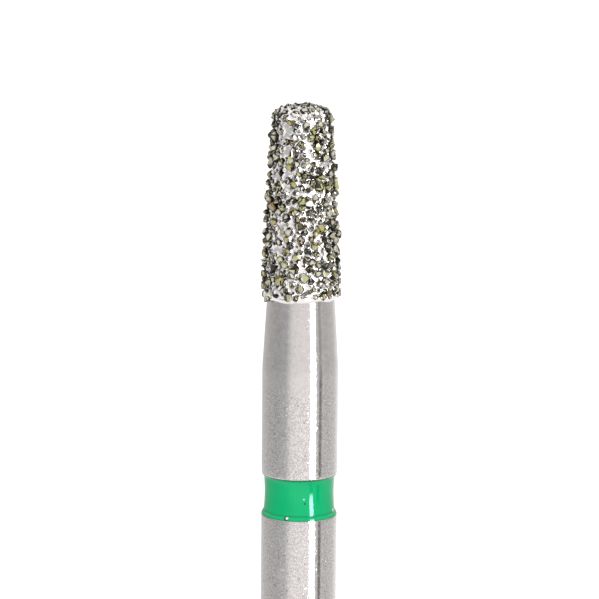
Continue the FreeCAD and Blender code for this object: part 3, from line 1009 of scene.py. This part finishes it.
def painted_room(tree):
    """The colours of a pale studio in every direction: walls, a strip light, a table and a ceiling."""
    way = node(tree, "ShaderNodeTexCoord").outputs["Generated"]
    parts = node(tree, "ShaderNodeSeparateXYZ", [("Vector", way)]).outputs
    turn = calculated(tree, "ARCTAN2", parts["X"], calculated(tree, "MULTIPLY", parts["Y"], -1.0))
    turn = spread(tree, turn, -math.pi, math.pi, 0.0, 1.0)
    height = spread(tree, parts["Z"], -1.0, 1.0, 0.0, 1.0)

    def turned_stops(stops):
        """Stops of a ramp over the turn, from degrees to the right of the front."""
        return [((degrees + 180) / 360, value) for degrees, value in stops]

    def round_room(stops):
        """Levels by degrees to the right of the front."""
        return levels(tree, turn, turned_stops(stops))

    def up_room(stops):
        """Levels by degrees above the horizon."""
        return levels(tree, height, [(0.5 + 0.5 * math.sin(math.radians(d)), level) for d, level in stops])

    walls = times(tree, round_room(WALL_LEVELS), ramp(tree, turn, turned_stops(WALL_TINTS)))
    paler_low = up_room([(-15.5, 1.16), (-14.4, 1.09), (-12.8, 1.0), (-11.0, 0.95), (-7.5, 0.86)])
    walls = times(tree, walls, paler_low)
    # A dark gap beside the strip, which is deepest low down
    gap = round_room([(60.0, 0.0), (61.0, 1.0), (69.5, 1.0), (71.0, 0.0)])
    gap_level = up_room([(-14.0, 0.0), (-12.8, 0.0), (-11.4, 0.12), (-8.8, 0.56), (-7.0, 0.48)])
    walls = mixed(tree, walls, gap_level, gap)
    # Past the walls' edges come the pale table, and a pale ceiling behind a dark rail
    beyond = up_room([(-26, 1.0), (20, 1.05), (25, 1.05), (29, 0.20), (43, 0.20), (50, 1.0)])
    walls = mixed(tree, beyond, walls, up_room([(-27, 0.0), (-20, 1.0), (9, 1.0), (16, 0.0)]))
    # The strip hangs from a little below the horizon to a third of the way up, over a darker stand
    strip = round_room([(34.2, 0.0), (35.2, 1.0), (46.8, 1.0), (47.8, 0.0)])
    bright = up_room([(-90, 0.012), (-17.0, 0.014), (-13.8, 1.0), (26, 1.0), (32, 0.06)])
    cards = mixed(tree, walls, times(tree, bright, (STRIP_LEVEL, STRIP_LEVEL, STRIP_LEVEL, 1.0)), strip)
    # The cards stand on a pale table and under a pale ceiling
    middle = up_room([(-46, 0.0), (-36, 1.0), (24, 1.0), (40, 0.0)])
    return mixed(tree, (*WHITE, 1.0), cards, middle)


def make_world():
    """A plain light, a white background, and a studio that shows only in reflections and through crystals."""
    world = bpy.data.worlds.new("studio")
    bpy.context.scene.world = world
    world.use_nodes = True
    tree = world.node_tree
    path = node(tree, "ShaderNodeLightPath").outputs
    mirror = calculated(tree, "MAXIMUM", path["Is Glossy Ray"], path["Is Transmission Ray"])
    direct = calculated(tree, "MULTIPLY_ADD", path["Is Camera Ray"], 1.0 - ROOM_LEVEL, ROOM_LEVEL)
    colour = mixed(tree, direct, painted_room(tree), mirror)
    feed(tree, tree.nodes["Background"], [("Color", colour), ("Strength", 1.0)])
    world.cycles.sampling_method = "NONE"


def make_floor():
    """A plain white floor under the shank's end, which keeps the shadow."""
    half = FLOOR_HALF
    corners = [(-half, -half, 0), (half, -half, 0), (half, half, 0), (-half, half, 0)]
    mesh = bpy.data.meshes.new("floor")
    mesh.from_pydata(corners, [], [(0, 1, 2, 3)])
    floor = added("floor", mesh)
    floor.visible_glossy = False
    made, tree, shader = material("white_floor")
    path = node(tree, "ShaderNodeLightPath").outputs
    direct = calculated(tree, "MAXIMUM", path["Is Camera Ray"], path["Is Transmission Ray"])
    inputs = [
        ("Base Color", (FLOOR_TONE, FLOOR_TONE, FLOOR_TONE, 1.0)),
        ("Roughness", 0.8),
        ("Emission Color", (*WHITE, 1.0)),
        ("Emission Strength", calculated(tree, "MULTIPLY", direct, FLOOR_LIFT)),
    ]
    feed(tree, shader, inputs)
    wear(floor, made)


def make_key():
    """One soft lamp in front, above and a little to the right."""
    lamp = bpy.data.lights.new("key", "AREA")
    lamp.shape = "DISK"
    lamp.size = KEY_SIZE
    lamp.energy = KEY_POWER
    key = added("key", lamp)
    key.location = KEY_PLACE
    key.rotation_mode = "QUATERNION"
    key.rotation_quaternion = (Vector(KEY_AIM) - key.location).to_track_quat("-Z", "Y")
    key.visible_glossy = False
    key.visible_camera = False
    key.visible_transmission = False


def make_camera():
    """A long lens in front, looking down at the head's rim, a touch rolled."""
    data = bpy.data.cameras.new("camera")
    data.lens = CAMERA_LENS
    data.sensor_width = CAMERA_SENSOR
    data.clip_start = 0.005
    data.clip_end = 10.0
    camera = added("camera", data)
    back = Vector((0, -math.cos(LOOK_DOWN), math.sin(LOOK_DOWN)))
    right = Vector((1, 0, 0))
    up = back.cross(right)
    turned_up = up * math.cos(ROLL) - right * math.sin(ROLL)
    turned_right = right * math.cos(ROLL) + up * math.sin(ROLL)
    facing = Matrix((turned_right, turned_up, back)).transposed().to_4x4()
    camera.matrix_world = Matrix.Translation(CAMERA_AIM + back * CAMERA_AWAY) @ facing
    bpy.context.scene.camera = camera


def main():
    rng = random.Random(SEED)
    wear(make_blank(), steel_material())
    wear(make_band(), enamel_material())
    bare = np.array([[*place_on_head(degrees, along)[0], reach] for degrees, along, reach in BARE_PLACES])
    stones, shapes = lay_stones(rng, bare)
    pieces = {}
    for node_name, found in shapes.items():
        pieces[node_name] = gather(node_name + "_cut", found)
        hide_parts(node_name)
    small = scatter_fragments(stones, bare, rng)
    fines = make_fines(small, rng)
    wear(make_coat(stones + small), nickel_material())
    wear(pieces["grit_grey"], diamond_material("grey_diamond", GREY_TONES))
    wear(pieces["grit_olive"], diamond_material("olive_diamond", OLIVE_TONES))
    wear(fines, diamond_material("fine_diamond", FINE_TONES))
    make_world()
    make_floor()
    make_key()
    make_camera()
    bpy.context.scene.view_settings.view_transform = "Standard"


main()
